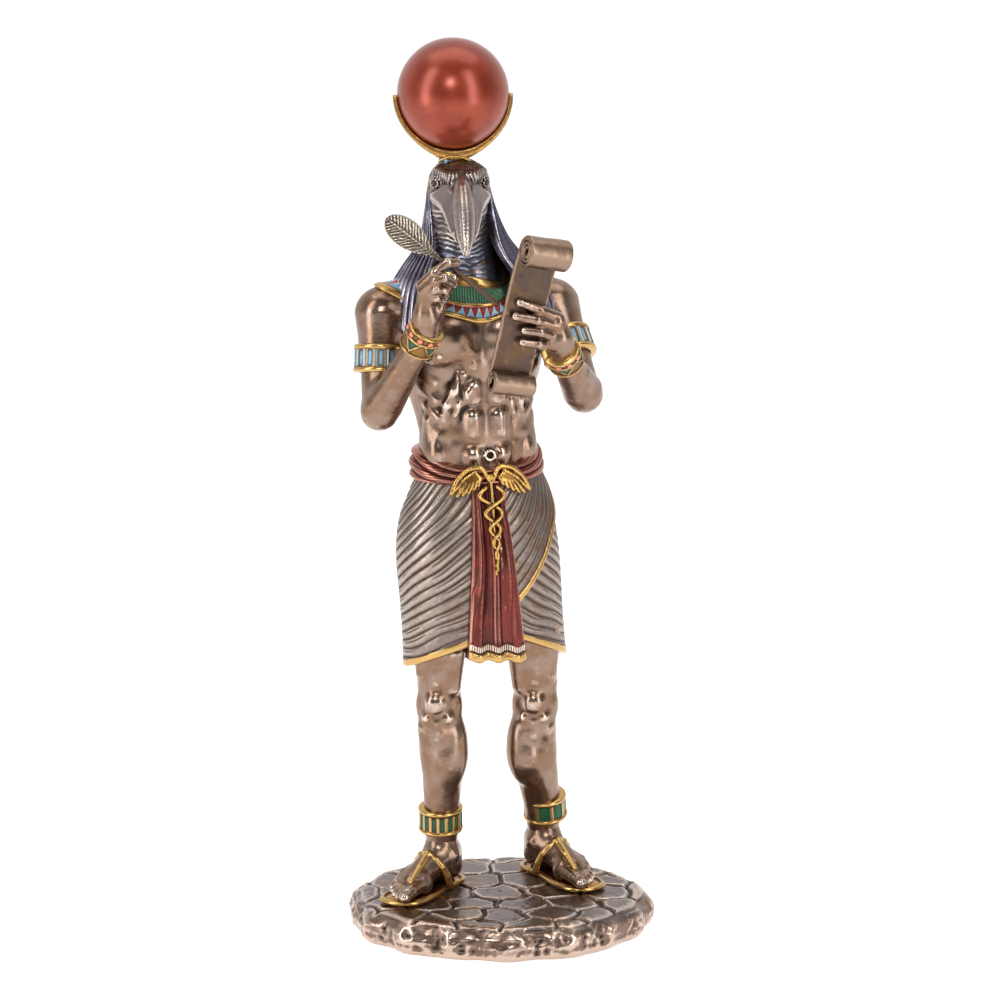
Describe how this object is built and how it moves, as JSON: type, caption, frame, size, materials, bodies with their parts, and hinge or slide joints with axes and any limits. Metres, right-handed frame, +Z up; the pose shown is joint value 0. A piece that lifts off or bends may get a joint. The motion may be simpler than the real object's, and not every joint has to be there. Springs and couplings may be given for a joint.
{
  "type": "ibis-headed scribe statuette",
  "caption": "Standing ibis-headed scribe with quill and scroll, moon disc on a crescent over the head, on an oval paved base.",
  "frame": {"origin": "centre of the oval base's underside", "axes": "+Z up, the figure and the front of the base face -Y, +X is to the viewer's right"},
  "size_m": [0.0981, 0.0824, 0.2801],
  "materials": {
    "figure": "bronze-filled resin, dark patina in the recesses and polished high spots, painted sash, jewellery and headcloth",
    "stone_base": "bronze-filled resin cast as rough paving, dark patina",
    "moon": "glossy metallic copper-red paint",
    "crescent": "antique gold paint, satin",
    "quill": "grey bronze, dark in the barbs",
    "scroll": "brown bronze, satin"
  },
  "bodies": {
    "root": {"figure": "figure", "stone_base": "stone_base", "moon": "moon", "crescent": "crescent", "quill": "quill", "scroll": "scroll"}
  },
  "joints": []
}
